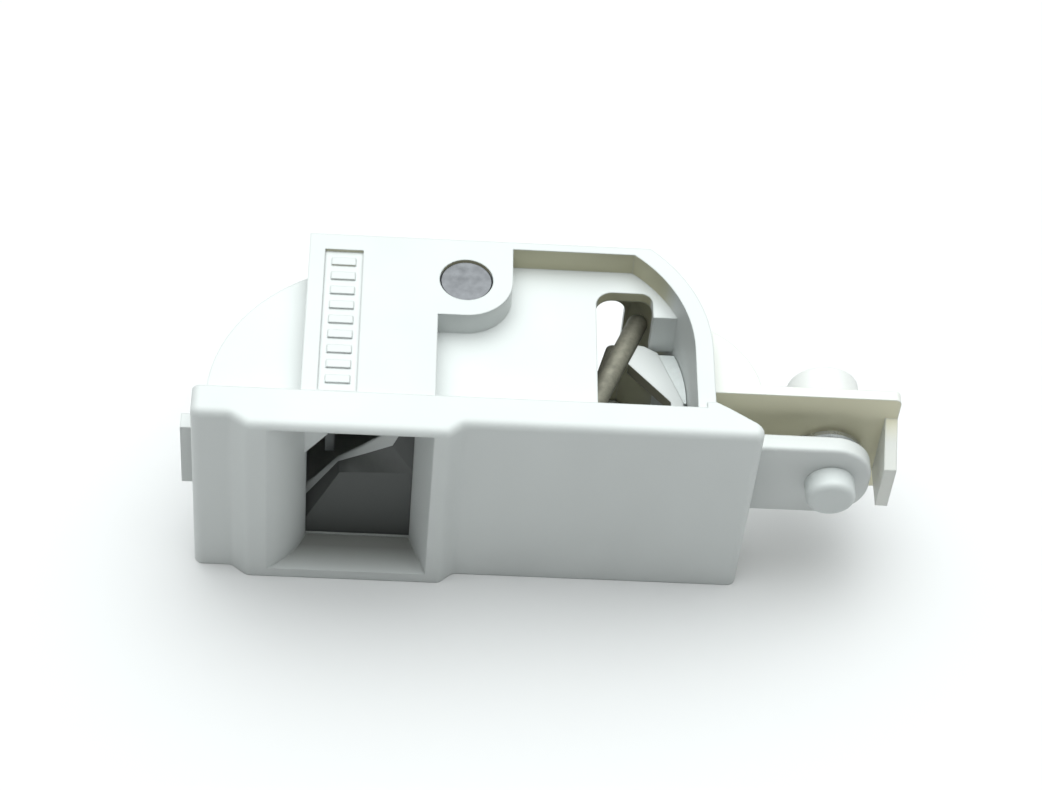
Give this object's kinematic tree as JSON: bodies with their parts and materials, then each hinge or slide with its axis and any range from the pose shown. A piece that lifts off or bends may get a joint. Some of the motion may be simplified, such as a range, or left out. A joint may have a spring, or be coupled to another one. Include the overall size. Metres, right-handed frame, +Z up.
{
  "type": "gate latch unit",
  "caption": "Moulded latch housing with a striker window, hook lever on a vertical pin, and a spring-returned release slide with an end link.",
  "frame": {"origin": "where the pivot pin's axis meets the flat underside of the base cover", "axes": "+X along the front face towards the end link, +Y towards the back, +Z up out of the top"},
  "size_m": [0.08, 0.0284, 0.0275],
  "materials": {
    "housing_plastic": "fine moulded matte",
    "cover_plastic": "fine moulded matte",
    "bracket_plastic": "fine moulded matte",
    "catch_plastic": "dark smooth acetal",
    "notch_plastic": "dark acetal, slopes polished by use",
    "slide_plastic": "fine moulded matte",
    "link_plastic": "fine moulded matte",
    "roller_plastic": "smooth acetal",
    "washer_nylon": "smooth nylon",
    "bush_nylon": "smooth nylon",
    "buffer_elastomer": "soft matte",
    "pin_steel": "turned, ground end",
    "clip_steel": "stamped spring steel",
    "spring_steel": "drawn wire",
    "washer_steel": "bright zinc plated",
    "screw_steel": "zinc plated",
    "insert_brass": "turned"
  },
  "bodies": {
    "frame": {"housing": "housing_plastic", "base_cover": "cover_plastic", "end_bracket": "bracket_plastic", "bracket_screws": "screw_steel", "fixing_inserts": "insert_brass", "pivot_pin": "pin_steel", "pivot_clip": "clip_steel", "upper_thrust_washer": "washer_nylon", "lower_thrust_washer": "washer_nylon", "slide_buffer": "buffer_elastomer", "torsion_spring": "spring_steel"},
    "catch": {"catch_lever": "catch_plastic", "catch_bush": "bush_nylon"},
    "slide": {"release_slide": "slide_plastic", "notch_plate": "notch_plastic", "drive_pin": "pin_steel", "link_pin": "link_plastic", "link_washer": "washer_steel", "roller_clip": "clip_steel"},
    "link_wheel": {"link_roller": "roller_plastic"},
    "drive_wheel": {"drive_roller": "washer_nylon"}
  },
  "joints": [
    {"name": "slide_travel", "type": "slide", "parent": "frame", "child": "slide", "axis": [-1, 0, 0], "range_m": [0, 0.002], "stiffness_N_per_m": 1500, "springref_m": -0.004, "deforming": ["torsion_spring"]},
    {"name": "catch_turn", "type": "hinge", "parent": "frame", "child": "catch", "pos_m": [0, 0, 0.0125], "axis": [0, 0, -1], "range_deg": [0, 8.9]},
    {"name": "link_roller_spin", "type": "hinge", "parent": "slide", "child": "link_wheel", "pos_m": [0.04185, -0.007, 0.0149], "axis": [0, 1, 0], "continuous": true},
    {"name": "drive_roller_spin", "type": "hinge", "parent": "slide", "child": "drive_wheel", "pos_m": [0, -0.013, 0.0082], "axis": [0, 0, 1], "continuous": true}
  ],
  "couplings": [
    {"joint": "catch_turn", "follows": "slide_travel", "rad_per_m": 76.923}
  ]
}
